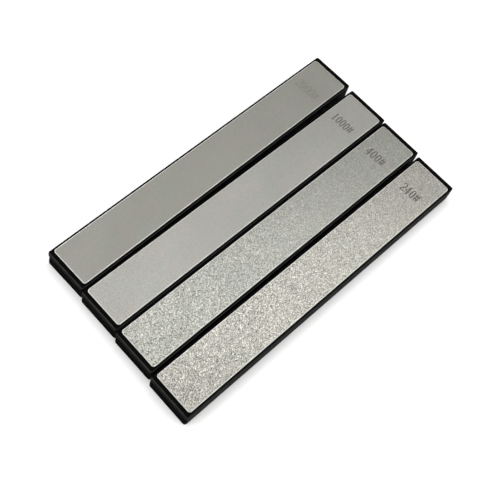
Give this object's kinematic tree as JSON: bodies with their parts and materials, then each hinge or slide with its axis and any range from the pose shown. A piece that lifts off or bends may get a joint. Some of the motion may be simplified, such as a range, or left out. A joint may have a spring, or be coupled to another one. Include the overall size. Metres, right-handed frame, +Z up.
{
  "type": "diamond honing stone set",
  "caption": "Flat diamond honing stones for a guided sharpener, each a thin steel strip on a black moulded base with a V groove across both ends.",
  "frame": {"origin": "centre of the set's outline, on the surface that the stones rest on", "axes": "+X along the stones towards their marked ends, +Y towards the finest stone, +Z up from the bench"},
  "size_m": [0.158, 0.086, 0.009],
  "materials": {
    "black_plastic": "satin moulded",
    "adhesive": "matte sheet",
    "strip_steel": "plain",
    "diamond_2000": "nickel-bonded diamond, grit 2000",
    "diamond_1000": "nickel-bonded diamond, grit 1000",
    "diamond_400": "nickel-bonded diamond, grit 400",
    "diamond_240": "nickel-bonded diamond, grit 240"
  },
  "bodies": {
    "stone_2000": {"base_2000": "black_plastic", "adhesive_2000": "adhesive", "steel_strip_2000": "strip_steel", "diamond_layer_2000": "diamond_2000"},
    "stone_1000": {"base_1000": "black_plastic", "adhesive_1000": "adhesive", "steel_strip_1000": "strip_steel", "diamond_layer_1000": "diamond_1000"},
    "stone_400": {"base_400": "black_plastic", "adhesive_400": "adhesive", "steel_strip_400": "strip_steel", "diamond_layer_400": "diamond_400"},
    "stone_240": {"base_240": "black_plastic", "adhesive_240": "adhesive", "steel_strip_240": "strip_steel", "diamond_layer_240": "diamond_240"}
  },
  "joints": [
    {"name": "lift_1000", "type": "slide", "parent": "stone_2000", "child": "stone_1000", "axis": [0, 0, 1], "range_m": [0, 0.04]},
    {"name": "lift_400", "type": "slide", "parent": "stone_2000", "child": "stone_400", "axis": [0, 0, 1], "range_m": [0, 0.04]},
    {"name": "lift_240", "type": "slide", "parent": "stone_2000", "child": "stone_240", "axis": [0, 0, 1], "range_m": [0, 0.04]}
  ]
}
